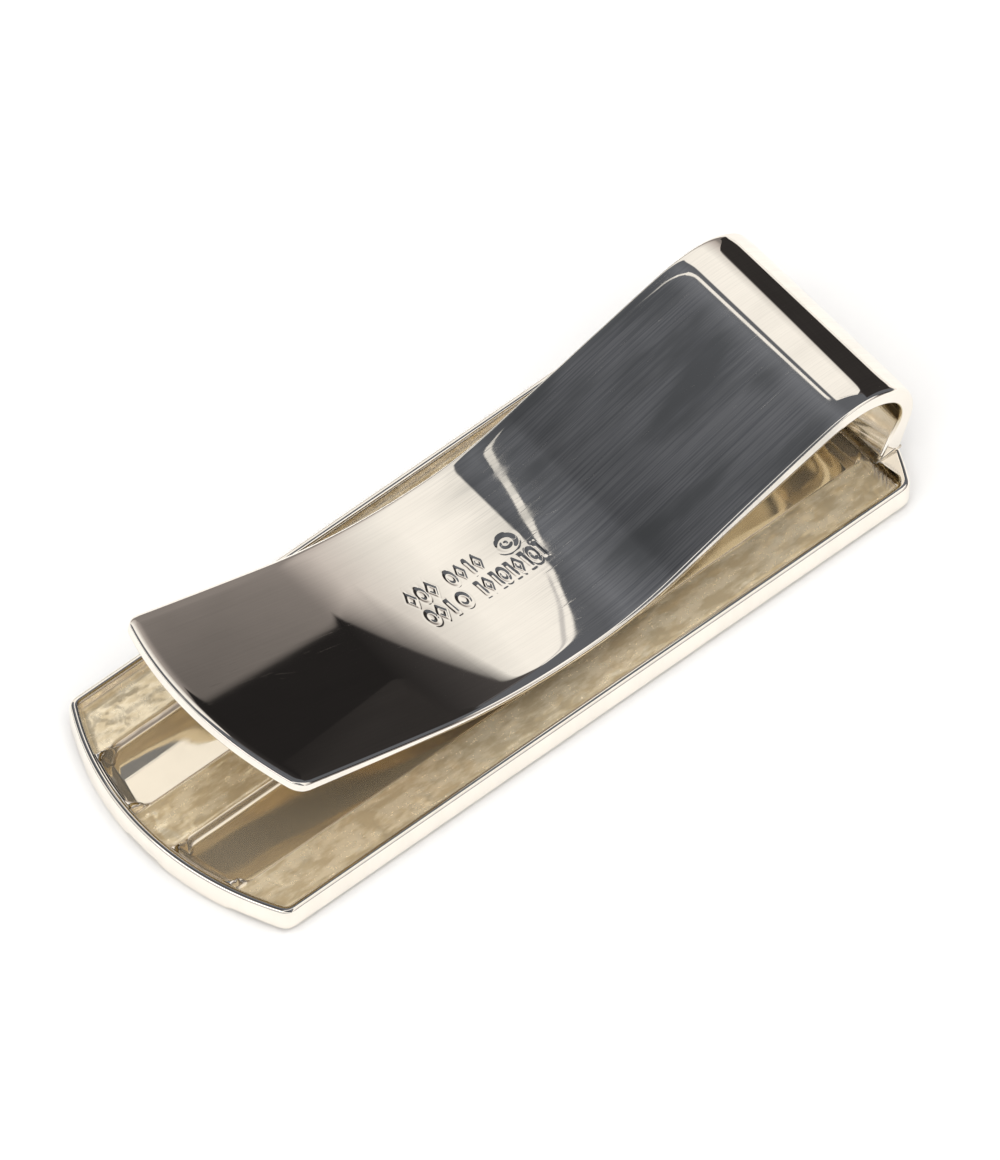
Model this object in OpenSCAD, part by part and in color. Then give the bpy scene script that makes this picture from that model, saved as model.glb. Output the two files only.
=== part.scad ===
// Money clip: a ribbed, tray-backed face plate with a bent spring strip soldered to one end.
// Millimetres. X runs along the clip with the fold at +X, Y across it, and Z up from the
// plane of the face plate's ribs, which lie on the table.

/* [Face plate] */
// Overall length over the two bowed ends
plate_len = 50.7; // [46:0.1:56]
// Width of the plate
plate_w = 19.1; // [17:0.1:22]
// Height of the rim above the ribs' face
rim_h = 2.0; // [1.8:0.1:2.6]
// How far each end bows out past the corners
end_bow = 2.65; // [1.5:0.05:3.5]
// Corner radius in plan
corner_r = 0.9; // [0.6:0.1:1.5]
// Thickness of the side walls at the rim
wall_t = 0.7; // [0.5:0.05:1.0]
// Thickness of the rim at the two bowed ends
end_wall_t = 0.6; // [0.5:0.05:0.9]
// Bevel on the rim's outer top edge
rim_bevel = 0.2; // [0.1:0.05:0.25]

/* [Ribs] */
// Half width of the narrow middle band
mid_half = 1.5; // [1.2:0.1:2]
// Distance from the middle to the outer side of each wide rib
rib_out = 6.05; // [5.5:0.05:6.5]
// How far the wide ribs stand proud of the face
rib_proud = 0.2; // [0.2:0.05:0.6]
// Metal left under each wide rib's hollow
rib_floor = 0.5; // [0.4:0.05:0.7]
// Height of the narrow bands' floor inside the tray
band_floor = 1.2; // [1.1:0.05:1.4]
// Radius of the hollows' troughs
trough_r = 8; // [5:0.5:20]

/* [Spring strip] */
// Width at the fold
strip_w_fold = 14.4; // [12:0.1:16]
// Width at the free end
strip_w_tip = 15.2; // [12:0.1:17]
// Distance from the middle of the plate to the highest line of the fold
top_x = 20.85; // [19.5:0.05:21.2]
// Height of the highest line of the fold
top_z = 8.65; // [8.2:0.05:9.6]
// Outside radius of the fold's upper, gentler part
bend_r1 = 4.79; // [4.2:0.01:5]
// Outside radius of the fold's outer, tighter part
bend_r2 = 2.91; // [2.6:0.01:3.2]
// Angle at which the gentler part meets the tighter one, in degrees
bend_split = 40; // [30:1:50]
// Thickness at the fold
fold_t = 1.05; // [0.8:0.01:1.2]
// Thickness at the belly, where the strip comes nearest the plate
belly_t = 0.52; // [0.45:0.01:0.8]
// Thickness at the free end
tip_t = 0.85; // [0.6:0.05:1]
// Slope down from the fold to the belly, in degrees
fall_deg = 18.8; // [15:0.1:19.5]
// Slope up from the belly to the free end, in degrees
rise_deg = 20; // [16:0.5:22]
// Radius of the free end in plan
tip_r = 18.2; // [12:0.1:30]

/* [Solder] */
// Thickness of the solder under the foot
solder_t = 0.08; // [0.05:0.01:0.15]
// Leg of the solder fillet beside the foot
solder_leg = 0.25; // [0.1:0.05:0.3]

/* [Hidden] */
$fa = 2;
$fs = 0.05;
silver = [0.80, 0.79, 0.76];
silver_spring = [0.72, 0.72, 0.72];
solder_grey = [0.62, 0.61, 0.58];

half_w = plate_w / 2;
end_half = half_w;                                   // half the chord of each bowed end
end_r = (end_half * end_half + end_bow * end_bow) / (2 * end_bow);
end_cx = plate_len / 2 - end_r;                      // centre of the +X end's arc
land_x = 22.15;                                      // inner side of the solder land
foot_in = 22.35;                                     // foot's inner side at the rim
foot_out = 23.9;                                     // foot's outer side at the rim
foot_deg = -22;                                      // where the foot meets the fold
bend_c1 = [top_x, top_z - bend_r1];                  // centre of the gentler part
bend_c2 = bend_c1 + (bend_r1 - bend_r2) * [sin(bend_split), cos(bend_split)];
foot_z = rim_h + solder_t;
inner_w = plate_w - 2 * wall_t;
face_z = rib_proud;

// The strip's upper line from the top of the fold to the free end, as
// [radius (0 for a straight), slope change in degrees or length]. Slope is positive going down.
run_fall = 8.99;
run_tip = 13.6;
legs = [[15, fall_deg], [0, run_fall], [18.5, -fall_deg], [33, -rise_deg], [0, run_tip]];
steps = 14;

function leg_len(g) = g[0] == 0 ? g[1] : g[0] * abs(g[1]) * PI / 180;
function slope_after(g, a) = g[0] == 0 ? a : a + g[1];
// position after a share u of leg g, starting at p with slope a
function along(g, p, a, u) =
    g[0] == 0
    ? p + g[1] * u * [-cos(a), -sin(a)]
    : let (k = sign(g[1]), b = a + g[1] * u)
      p + g[0] * k * [-(sin(b) - sin(a)), cos(b) - cos(a)];
function walk(i, p, a, s) =
    i >= len(legs) ? [] :
    let (g = legs[i], n = g[0] == 0 ? 2 : steps)
    concat([for (k = [(i == 0 ? 0 : 1) : n])
               [along(g, p, a, k / n), slope_after([g[0], g[1] * k / n], a), s + leg_len(g) * k / n]],
           walk(i + 1, along(g, p, a, 1), slope_after(g, a), s + leg_len(g)));

top_line = walk(0, [top_x, top_z], 0, 0);
total_s = top_line[len(top_line) - 1][2];
function thick(s) = lookup(s, [[0, fold_t], [6, 0.95 * fold_t], [15, belly_t + 0.08], [20, belly_t],
                              [32, belly_t], [38, belly_t + 0.08], [total_s, tip_t]]);
under_line = [for (q = top_line) q[0] + thick(q[2]) * [sin(q[1]), -cos(q[1])]];
tip_top = top_line[len(top_line) - 1][0];
tip_x = -21.45;                                      // how far the free end reaches
tip_z = tip_top[1] + (tip_top[0] - tip_x) * tan(rise_deg);

// ---- plan outlines ----

// removes what lies outside a fillet of radius r between the side y = h and an end arc
module corner_cut(cx, big_r, h, r) {
    dx = sqrt(pow(big_r - r, 2) - pow(h - r, 2));
    c = [cx + dx, h - r];
    u = [dx, h - r] / (big_r - r);
    difference() {
        polygon([c, [c[0], h + 3], [c[0] + 4, h + 3], c + 5 * u]);
        translate(c) circle(r = r);
    }
}

// everything inside the +X end's arc, drawn in by inset
module end_disc(inset) {
    translate([end_cx, 0]) circle(r = end_r - inset, $fa = 1);
    translate([-plate_len, -plate_w]) square([plate_len + end_cx, 2 * plate_w]);
}

module plate_outline(inset_side = 0, inset_end = 0, r = corner_r) {
    difference() {
        intersection() {
            square([plate_len + 2, plate_w - 2 * inset_side], center = true);
            end_disc(inset_end);
            mirror([1, 0]) end_disc(inset_end);
        }
        for (sx = [1, -1], sy = [1, -1])
            scale([sx, sy]) corner_cut(end_cx, end_r - inset_end, half_w - inset_side, r);
    }
}

// one wide rib's hollow, in plan: bowed at the free end, straight at the solder land
module hollow_outline() {
    intersection() {
        translate([-plate_len / 2, mid_half])
            square([plate_len / 2 + land_x - 0.35, rib_out - mid_half]);
        mirror([1, 0]) end_disc(end_wall_t + 0.4);
    }
}

// ---- pieces ----

// wedge that bevels an edge at the origin: metal lies at -x and -y
module bevel_2d() {
    polygon([[-rim_bevel - 0.4, 0.4], [0.4, -rim_bevel - 0.4], [0.8, 0.8]]);
}

// bevel along the rim's outer top edge: two sides, two bowed ends and four corners
module rim_bevels() {
    a = atan2(half_w - corner_r, sqrt(pow(end_r - corner_r, 2) - pow(half_w - corner_r, 2)));
    side = end_cx + (end_r - corner_r) * cos(a);
    for (sy = [1, -1]) scale([1, sy, 1])
        translate([0, half_w, rim_h]) rotate([90, 0, 90])
            linear_extrude(2 * side + 0.06, center = true) bevel_2d();
    for (sx = [1, -1]) scale([sx, 1, 1]) {
        translate([end_cx, 0, rim_h]) rotate([0, 0, -a - 0.1])
            rotate_extrude(angle = 2 * a + 0.2, $fa = 1) translate([end_r, 0]) bevel_2d();
        for (sy = [1, -1]) scale([1, sy, 1])
            translate([side, half_w - corner_r, rim_h])
                rotate([0, 0, a]) rotate_extrude(angle = 90 - a, $fn = 90)
                    translate([corner_r, 0]) bevel_2d();
    }
}

module face_plate() color(silver) difference() {
    union() {
        translate([0, 0, face_z]) linear_extrude(rim_h - face_z) plate_outline();
        // the wide ribs, proud of the face
        linear_extrude(face_z + 0.1) intersection() {
            plate_outline();
            for (sy = [1, -1]) scale([1, sy])
                translate([-plate_len, mid_half - 0.25])
                    square([2 * plate_len, rib_out - mid_half + 0.5]);
        }
    }
    // the tray, stopping at the solder land
    translate([0, 0, band_floor]) linear_extrude(rim_h) intersection() {
        plate_outline(wall_t, end_wall_t, corner_r - 0.3);
        translate([-plate_len, -half_w]) square([plate_len + land_x, plate_w]);
    }
    // the wide ribs' hollows
    for (sy = [1, -1]) scale([1, sy, 1]) intersection() {
        translate([0, 0, rib_floor]) linear_extrude(rim_h) hollow_outline();
        translate([0, (mid_half + rib_out) / 2, rib_floor + trough_r]) rotate([0, 90, 0])
            cylinder(r = trough_r, h = 2 * plate_len, center = true, $fa = 0.5);
    }
    rim_bevels();
}

// thin layer under the foot with a small fillet on both sides of it
module solder_seam() color(solder_grey)
    rotate([90, 0, 0]) linear_extrude(strip_w_fold + 0.2, center = true)
        difference() {
            polygon([[foot_in - 0.15, rim_h], [foot_out + solder_leg, rim_h],
                     [foot_out + solder_leg, rim_h + 0.03], [foot_out + 0.05, foot_z + solder_leg],
                     [foot_in + 0.1, foot_z + 0.15], [foot_in - 0.15, rim_h + 0.03]]);
            foot_2d();
        }

// the strip's foot in side view: from the rim up to the fold
module foot_2d() {
    polygon([[foot_in, foot_z], [foot_out, foot_z],
             bend_c2 + bend_r2 * [cos(foot_deg), sin(foot_deg)],
             bend_c2 + (bend_r2 - fold_t) * [cos(foot_deg), sin(foot_deg)]]);
}

module spring_foot() color(silver_spring)
    rotate([90, 0, 0]) linear_extrude(strip_w_fold, center = true) foot_2d();

// part of a round bend in side view, between two angles less than 150 degrees apart
module bend_part(centre, r, from_deg, to_deg) {
    mid = (from_deg + to_deg) / 2;
    translate([centre[0], 0, centre[1]]) rotate([90, 0, 0]) difference() {
        cylinder(r = r, h = strip_w_fold, center = true, $fa = 1);
        cylinder(r = r - fold_t, h = strip_w_fold + 1, center = true, $fa = 1);
        linear_extrude(strip_w_fold + 1, center = true) rotate(mid)
            polygon([[0, 0], for (k = [0 : 6]) let (a = (to_deg - mid) * (1 - k / 6) + 180 * k / 6)
                         25 * [cos(a), sin(a)],
                     for (k = [1 : 6]) let (a = -180 + (180 + from_deg - mid) * k / 6)
                         25 * [cos(a), sin(a)]]);
    }
}

// the fold: a tight bend above the foot, easing into a gentler one at the top
module spring_bend() color(silver_spring) {
    bend_part(bend_c2, bend_r2, foot_deg, 90 - bend_split);
    bend_part(bend_c1, bend_r1, 90 - bend_split, 90);
}

// side view of the moving leaf: down to the belly and up to the free end
module tongue_2d() {
    n = len(top_line);
    polygon(concat([for (q = top_line) q[0]], [for (i = [n - 1 : -1 : 0]) under_line[i]]));
}

// the free end's bow and rounded corners, in plan, with everything behind them
module tip_plan() {
    difference() {
        translate([tip_x + tip_r, 0]) union() {
            circle(r = tip_r, $fa = 1);
            translate([0, -plate_w]) square([2 * plate_len, 2 * plate_w]);
        }
        for (sy = [1, -1]) scale([-1, sy])
            corner_cut(-tip_x - tip_r, tip_r, strip_w_tip / 2 - 0.02, 1.1);
    }
}

module spring_tongue() color(silver_spring) intersection() {
    rotate([90, 0, 0]) linear_extrude(strip_w_tip + 2, center = true) tongue_2d();
    // straight taper from the fold to the free end
    linear_extrude(2 * top_z) polygon([[top_x, strip_w_fold / 2], [tip_x - 2, strip_w_tip / 2],
                                        [tip_x - 2, -strip_w_tip / 2], [top_x, -strip_w_fold / 2]]);
    // the end face leans back, square to the strip
    translate([0, 0, tip_z]) multmatrix([[1, 0, tan(rise_deg), 0], [0, 1, 0, 0], [0, 0, 1, 0]])
        linear_extrude(60, center = true) tip_plan();
}

face_plate();
solder_seam();
spring_foot();
spring_bend();
spring_tongue();
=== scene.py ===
import math

import bpy
import numpy as np
from bpy.props import FloatProperty, FloatVectorProperty, PointerProperty
from bpy.types import Operator, Panel, PropertyGroup
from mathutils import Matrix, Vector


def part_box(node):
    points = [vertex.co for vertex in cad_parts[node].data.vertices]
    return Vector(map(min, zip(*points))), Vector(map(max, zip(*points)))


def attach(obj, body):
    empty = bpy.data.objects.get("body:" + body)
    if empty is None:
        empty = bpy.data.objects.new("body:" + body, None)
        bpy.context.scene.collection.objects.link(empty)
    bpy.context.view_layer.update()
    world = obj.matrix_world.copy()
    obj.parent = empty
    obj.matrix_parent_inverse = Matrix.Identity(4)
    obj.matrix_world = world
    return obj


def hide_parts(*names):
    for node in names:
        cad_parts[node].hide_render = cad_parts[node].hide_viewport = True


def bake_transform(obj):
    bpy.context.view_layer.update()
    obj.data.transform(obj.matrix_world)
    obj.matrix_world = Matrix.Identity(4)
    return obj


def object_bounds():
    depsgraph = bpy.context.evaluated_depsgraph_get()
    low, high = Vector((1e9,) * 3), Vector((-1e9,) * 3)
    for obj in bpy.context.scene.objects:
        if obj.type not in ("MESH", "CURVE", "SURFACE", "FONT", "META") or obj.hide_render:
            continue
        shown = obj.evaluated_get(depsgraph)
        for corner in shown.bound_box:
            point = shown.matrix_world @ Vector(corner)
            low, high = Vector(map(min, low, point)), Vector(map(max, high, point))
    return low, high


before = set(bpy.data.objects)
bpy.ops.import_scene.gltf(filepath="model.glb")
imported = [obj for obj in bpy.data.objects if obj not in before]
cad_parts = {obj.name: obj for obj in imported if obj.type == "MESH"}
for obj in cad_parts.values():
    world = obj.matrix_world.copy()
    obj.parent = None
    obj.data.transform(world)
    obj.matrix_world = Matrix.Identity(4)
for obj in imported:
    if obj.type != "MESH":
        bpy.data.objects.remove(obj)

bl_info = {
    "name": "Silver Money Clip",
    "version": (1, 0, 0),
    "blender": (4, 5, 0),
    "location": "View3D > Sidebar > Money Clip",
    "description": "Builds a ribbed silver money clip with a bent spring strip",
    "category": "Object",
}

CAD_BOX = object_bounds()
PLATE_LOW, PLATE_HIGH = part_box("face_plate")
MM = 0.001


# ---------------------------------------------------------------- sizes and finishes

class ClipSizes(PropertyGroup):
    """Sizes of the clip that a user would change."""

    plate_length: FloatProperty(
        name="Plate length", description="Length of the face plate over its bowed ends",
        default=PLATE_HIGH.x - PLATE_LOW.x, unit="LENGTH")
    plate_width: FloatProperty(
        name="Plate width", description="Width of the face plate",
        default=PLATE_HIGH.y - PLATE_LOW.y, unit="LENGTH")
    rim_height: FloatProperty(
        name="Rim height", description="Height of the tray's rim above the ribs' face",
        default=PLATE_HIGH.z, unit="LENGTH")
    end_bow: FloatProperty(
        name="End bow", description="How far each end bows out past the corners",
        default=0.00265, unit="LENGTH")
    strip_width: FloatProperty(
        name="Strip width", description="Width of the spring strip at its free end",
        default=0.01516, unit="LENGTH")
    fold_width: FloatProperty(
        name="Fold width", description="Width of the spring strip at the fold",
        default=0.0144, unit="LENGTH")
    strip_crown: FloatProperty(
        name="Strip crown", description="How far the strip's edges lie below its middle line",
        default=0.00013, unit="LENGTH")
    punch_depth: FloatProperty(
        name="Punch depth", description="Depth of the small punched marks",
        default=0.000034, unit="LENGTH")


class ClipFinish(PropertyGroup):
    """Colours of the silver."""

    silver: FloatVectorProperty(
        name="Silver", description="Colour of the polished silver",
        subtype="COLOR", size=3, min=0.0, max=1.0, default=(0.96, 0.905, 0.82))
    tarnish: FloatVectorProperty(
        name="Tarnish", description="Colour of the silver where tarnish has settled in the tray",
        subtype="COLOR", size=3, min=0.0, max=1.0, default=(0.86, 0.74, 0.54))
    solder: FloatVectorProperty(
        name="Solder", description="Colour of the hard solder at the foot",
        subtype="COLOR", size=3, min=0.0, max=1.0, default=(0.80, 0.72, 0.60))


class ClipStage(PropertyGroup):
    """The floor, the light and the camera."""

    floor_colour: FloatVectorProperty(
        name="Floor", description="Colour of the paper the clip lies on",
        subtype="COLOR", size=3, min=0.0, max=1.0, default=(0.93, 0.925, 0.915))
    fill_strength: FloatProperty(
        name="Fill light", description="Strength of the soft overhead light on the floor",
        default=2.35, min=0.0)
    camera_azimuth: FloatProperty(
        name="Camera azimuth", description="Direction of the camera round the clip",
        default=math.radians(-40.27), subtype="ANGLE", unit="ROTATION")
    camera_elevation: FloatProperty(
        name="Camera elevation", description="Height of the camera above the horizon",
        default=math.radians(54.14), subtype="ANGLE", unit="ROTATION")
    camera_distance: FloatProperty(
        name="Camera distance", description="Distance from the camera to the clip",
        default=1.638, unit="LENGTH")


# ---------------------------------------------------------------- plan shapes

def smooth(value, low, high):
    """Smooth step from 0 at low to 1 at high."""
    t = np.clip((value - low) / (high - low), 0.0, 1.0)
    return t * t * (3.0 - 2.0 * t)


def end_fall(y, half, bow, corner):
    """How far a bowed end with rounded corners lies behind its furthest point, at y off the middle."""
    a = np.minimum(np.abs(y), half)
    reach = math.sqrt((bow - corner) ** 2 - (half - corner) ** 2)
    meet = (half - corner) * bow / (bow - corner)
    arc = bow - np.sqrt(bow * bow - np.minimum(a, meet) ** 2)
    turn = bow - reach - np.sqrt(np.maximum(corner ** 2 - np.maximum(a - half + corner, 0.0) ** 2, 0.0))
    return np.where(a <= meet, arc, turn)


class PlanOutline:
    """Outline of a flat piece with straight sides and two shaped ends.

    Each end is given as (furthest point, bow, corner).
    """

    def __init__(self, half, low_end, high_end, low_inset=1.0):
        self.half, self.low_end, self.high_end, self.low_inset = half, low_end, high_end, low_inset

    def grid(self, rows, cols, inset):
        """Plan points for row and column shares, drawn in by inset."""
        half = self.half - inset
        y = rows * half
        low, low_bow, low_corner = self.low_end
        high, high_bow, high_corner = self.high_end
        low_in = inset * self.low_inset
        start = low + low_in + end_fall(y, half, low_bow - low_in, max(low_corner - inset, 0.05))
        stop = high - inset - end_fall(y, half, high_bow - inset, max(high_corner - inset, 0.05))
        x = start[:, None] + (stop - start)[:, None] * cols[None, :]
        return x, np.repeat(y[:, None], len(cols), axis=1)


def clustered(length, step, zones):
    """Shares from 0 to 1 along a length, step apart, and closer in each zone (from, to, step)."""
    at, out = 0.0, [0.0]
    while at < length - 1e-6:
        here = step
        for low, high, fine in zones:
            if low - 3 * fine <= at <= high:
                here = min(here, fine)
            elif at < low and at + here > low:
                here = max(low - at, fine)
        at += here
        out.append(min(at, length))
    if len(out) > 2 and out[-1] - out[-2] < 0.3 * step and out[-1] - out[-2] < 0.01:
        out.pop(-2)
    return np.array(out) / length


def skin_mesh(name, outline, rows, cols, insets, place, note=None):
    """Closed mesh of a slab: an under grid, one loop for each inset round the edge, and an upper grid.

    place(layer, x, y) gives the points of a layer; layer 0 is the under side and the last is the upper side.
    """
    n, m, last = len(rows) - 1, len(cols) - 1, len(insets) - 1
    walk = ([(0, i) for i in range(m + 1)] + [(j, m) for j in range(1, n + 1)]
            + [(n, i) for i in range(m - 1, -1, -1)] + [(j, 0) for j in range(n - 1, 0, -1)])
    wj, wi = np.array(walk).T
    points, plans, loops, count = [], [], [], 0
    for layer, inset in enumerate(insets):
        x, y = outline.grid(rows, cols, inset)
        if layer not in (0, last):
            x, y = x[wj, wi], y[wj, wi]
        p = place(layer, x, y)
        loops.append(count + (wj * (m + 1) + wi if layer in (0, last) else np.arange(len(walk))))
        points.append(p.reshape(-1, 3))
        plans.append(np.stack([x, y], axis=-1).reshape(-1, 2))
        count += len(points[-1])
    grid = np.arange((n + 1) * (m + 1)).reshape(n + 1, m + 1)
    a, b, c, d = grid[:-1, :-1], grid[:-1, 1:], grid[1:, 1:], grid[1:, :-1]
    faces = [np.stack([a, d, c, b], axis=-1).reshape(-1, 4)]
    top = count - (n + 1) * (m + 1)
    faces.append(top + np.stack([a, b, c, d], axis=-1).reshape(-1, 4))
    for under, over in zip(loops, loops[1:]):
        faces.append(np.stack([under, np.roll(under, -1), np.roll(over, -1), over], axis=-1))
    points, plans, faces = np.concatenate(points), np.concatenate(plans), np.concatenate(faces)
    mesh = bpy.data.meshes.new(name)
    mesh.vertices.add(len(points))
    mesh.vertices.foreach_set("co", (points * MM).astype(np.float32).ravel())
    mesh.loops.add(faces.size)
    mesh.loops.foreach_set("vertex_index", faces.astype(np.int32).ravel())
    mesh.polygons.add(len(faces))
    mesh.polygons.foreach_set("loop_start", np.arange(0, faces.size, 4, dtype=np.int32))
    mesh.polygons.foreach_set("loop_total", np.full(len(faces), 4, np.int32))
    mesh.update(calc_edges=True)
    mesh.validate()
    mesh.shade_smooth()
    lay = mesh.attributes.new("lay_of_metal", "FLOAT_VECTOR", "POINT")
    lay.data.foreach_set("vector", np.column_stack([plans, np.zeros(len(plans))]).astype(np.float32).ravel())
    if note is not None:
        extra = mesh.attributes.new(note[0], "FLOAT", "POINT")
        extra.data.foreach_set("value", note[1](points, plans).astype(np.float32))
    obj = bpy.data.objects.new(name, mesh)
    bpy.context.scene.collection.objects.link(obj)
    return obj


def cast_noise(x, y, scale, seed):
    """Smooth random relief between -1 and 1, with features of the given scale."""
    table = np.random.default_rng(seed).uniform(-1.0, 1.0, (257, 257))
    u, v = x / scale, y / scale
    iu, iv = np.floor(u).astype(int), np.floor(v).astype(int)
    fu, fv = u - iu, v - iv
    fu, fv = fu * fu * (3 - 2 * fu), fv * fv * (3 - 2 * fv)
    iu, iv = iu % 256, iv % 256
    low = table[iu, iv] * (1 - fu) + table[iu + 1, iv] * fu
    high = table[iu, iv + 1] * (1 - fu) + table[iu + 1, iv + 1] * fu
    return low * (1 - fv) + high * fv


# ---------------------------------------------------------------- face plate

MID_HALF = 1.5            # half width of the narrow middle band
RIB_OUT = 6.05            # outer side of each wide rib
RIB_PROUD = 0.2           # how far the ribs stand below the narrow bands on the face
BAND_FLOOR = 1.2          # height of the narrow bands' floor in the tray
RIB_FLOOR = 0.5           # height of the bottom of the ribs' hollows
LAND_X = 22.15            # where the solder land starts
PLATE_CORNER = 0.9
LAND_STEP = 0.28          # run of the step from the tray's floor up to the land
FACE_STEPS = ((1.2, 1.55), (6.0, 6.35))      # where the face steps down onto a rib and off it again


class PlateShape:
    """Heights of the face plate's two sides, in millimetres."""

    def __init__(self, sizes):
        self.length = sizes.plate_length / MM
        self.half = sizes.plate_width / MM / 2
        self.rim = sizes.rim_height / MM
        bow = sizes.end_bow / MM
        self.end_r = (self.half ** 2 + bow ** 2) / (2 * bow)
        self.end_cx = self.length / 2 - self.end_r

    def outline(self):
        end = (self.length / 2, self.end_r, PLATE_CORNER)
        return PlanOutline(self.half, (-end[0], end[1], end[2]), end)

    def from_end(self, x, y):
        """Distance in from the free end's arc."""
        return self.end_r - np.hypot(np.minimum(x, -self.end_cx) + self.end_cx, y)

    def face(self, x, y):
        """Height of the under side: the ribs touch the floor and the bands stand clear of it."""
        a = np.abs(y)
        on, off = FACE_STEPS
        rib = smooth(a, *on) * (1 - smooth(a, *off))
        return RIB_PROUD * (1 - rib)

    def side_of_hollow(self, y):
        """Distance inside the nearer rib's hollow, negative outside."""
        return (RIB_OUT - MID_HALF) / 2 - np.abs(np.abs(y) - (RIB_OUT + MID_HALF) / 2)

    def tray(self, x, y):
        """Height of the tray's floor."""
        side = self.side_of_hollow(y)
        from_mid = np.abs(y) - (RIB_OUT + MID_HALF) / 2
        trough = RIB_FLOOR + from_mid ** 2 / 16 + 0.012 * cast_noise(x, y, 2.3, 4)
        corner = 0.9 * smooth(-side, -0.9, 0.1)
        climb = 1 - smooth(self.from_end(x, y) - corner, 0.38, 1.75)
        ramp = RIB_FLOOR + (self.rim - 0.06 - RIB_FLOOR) * climb
        hollow = np.logaddexp(trough * 9, ramp * 9) / 9 - 0.02
        rough = (1 - smooth(side, -0.25, 0.05)) * (1 - smooth(x, LAND_X - 1.4, LAND_X - 0.4))
        rough = rough * (0.35 + 0.65 * smooth(cast_noise(x * 0.6, y, 0.9, 5), -0.25, 0.25))
        pits = 0.045 * cast_noise(x * 0.7, y, 0.5, 1) + 0.028 * cast_noise(x, y, 0.21, 2)
        lip = 0.06 * np.exp(-((side + 0.07) / 0.10) ** 2)
        band = BAND_FLOOR + rough * pits + lip
        floor = band + (hollow - band) * smooth(side, 0.0, 0.34)
        return floor + (self.rim - floor) * smooth(x, LAND_X - LAND_STEP, LAND_X)


RIM_PROFILE = (
    # inset, measured from (0 face, 1 rim, 2 tray floor), offset or share of the wall's height
    (0.50, 0, 0.0), (0.34, 0, 0.01), (0.22, 0, 0.04), (0.12, 0, 0.10), (0.05, 0, 0.18), (0.01, 0, 0.28),
    (0.0, 0, 0.40), (0.0, 1, -0.34), (0.008, 1, -0.25), (0.035, 1, -0.17), (0.08, 1, -0.10),
    (0.14, 1, -0.045), (0.21, 1, -0.012), (0.28, 1, 0.0), (0.33, 1, 0.0), (0.39, 1, -0.012),
    (0.45, 1, -0.045), (0.51, 1, -0.10), (0.56, 2, 0.84), (0.61, 2, 0.66), (0.66, 2, 0.47),
    (0.72, 2, 0.30), (0.80, 2, 0.15), (0.91, 2, 0.05), (1.08, 2, 0.0),
)


def build_face_plate(sizes):
    shape = PlateShape(sizes)

    def place(layer, x, y):
        inset, base, value = RIM_PROFILE[layer]
        land = smooth(x, LAND_X - LAND_STEP, LAND_X)
        if base == 0:
            at_end = 1 - smooth(np.abs(y), shape.half - 1.8, shape.half - 0.4)
            z = shape.face(x, y) + value * (1 + 0.55 * at_end)
        elif base == 1:
            z = shape.rim + value * (1 - land * (inset > 0.3))
        else:
            floor = shape.tray(x, y)
            z = floor + value * (shape.rim - 0.12 * (1 - land) - floor)
        return np.stack([x, y, z], axis=-1)

    half = shape.half
    fine, edge_fine, edge_mid = 0.045, 0.03, 0.08
    steps = (MID_HALF, RIB_OUT)
    row_zones = [(half + side * c - 0.22, half + side * c + 0.36, fine) for side in (-1, 1) for c in steps]
    row_zones += [(half - c - 0.40, half - c + 0.22, fine) for c in steps]
    row_zones += [(0.0, 0.25, edge_fine), (0.25, 0.9, edge_mid), (2 * half - 0.9, 2 * half - 0.25, edge_mid),
                  (2 * half - 0.25, 2 * half, edge_fine)]
    rows = clustered(2 * half, 0.15, sorted(row_zones)) * 2 - 1
    land_at = shape.length / 2 + LAND_X
    cols = clustered(shape.length, 0.19, [(0.0, 2.6, 0.10), (land_at + 0.4, land_at + 2.3, 0.06)])

    def tray_mask(points, plans):
        deep = smooth(shape.rim - points[:, 2], 0.25, 0.6) * (points[:, 2] > RIB_PROUD + 0.02)
        edge = np.minimum(half - np.abs(points[:, 1]), shape.from_end(-np.abs(points[:, 0]), points[:, 1]))
        return deep * smooth(edge, 0.55, 0.75)

    return skin_mesh("face_plate_silver", shape.outline(), rows, cols,
                     [p[0] for p in RIM_PROFILE], place, ("tray", tray_mask))


# ---------------------------------------------------------------- spring strip

# slope of the strip's outer side, as turns (length, degrees at the start, degrees at the end) from the
# foot's solder joint to the free end; 0 is level and 90 faces +X
STRIP_RUNS = (
    (2.3, 112.0, 112.0), (3.66, 112.0, 40.0), (3.34, 40.0, 0.0), (0.65, 0.0, -3.9),
    (1.75, -3.9, -15.3), (2.30, -15.3, -16.8), (9.35, -16.8, -19.3), (5.93, -19.3, 0.0),
    (11.52, 0.0, 20.0), (16.0, 20.0, 21.8),
)
FOLD_START = STRIP_RUNS[0][0]
FOLD_TOP = sum(run[0] for run in STRIP_RUNS[:3])
TOP_POINT = (20.85, 8.65)
FOOT_INNER = (22.35, 2.07)
TIP_X = -21.45
TIP_BOW = 18.2
TIP_CORNER = 1.15
THICKNESS = ((0.0, 1.05), (FOLD_TOP, 1.05), (FOLD_TOP + 6, 1.0), (FOLD_TOP + 15, 0.60), (FOLD_TOP + 20, 0.52),
             (FOLD_TOP + 32, 0.52), (FOLD_TOP + 38, 0.60), (FOLD_TOP + 49, 0.85))


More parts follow.
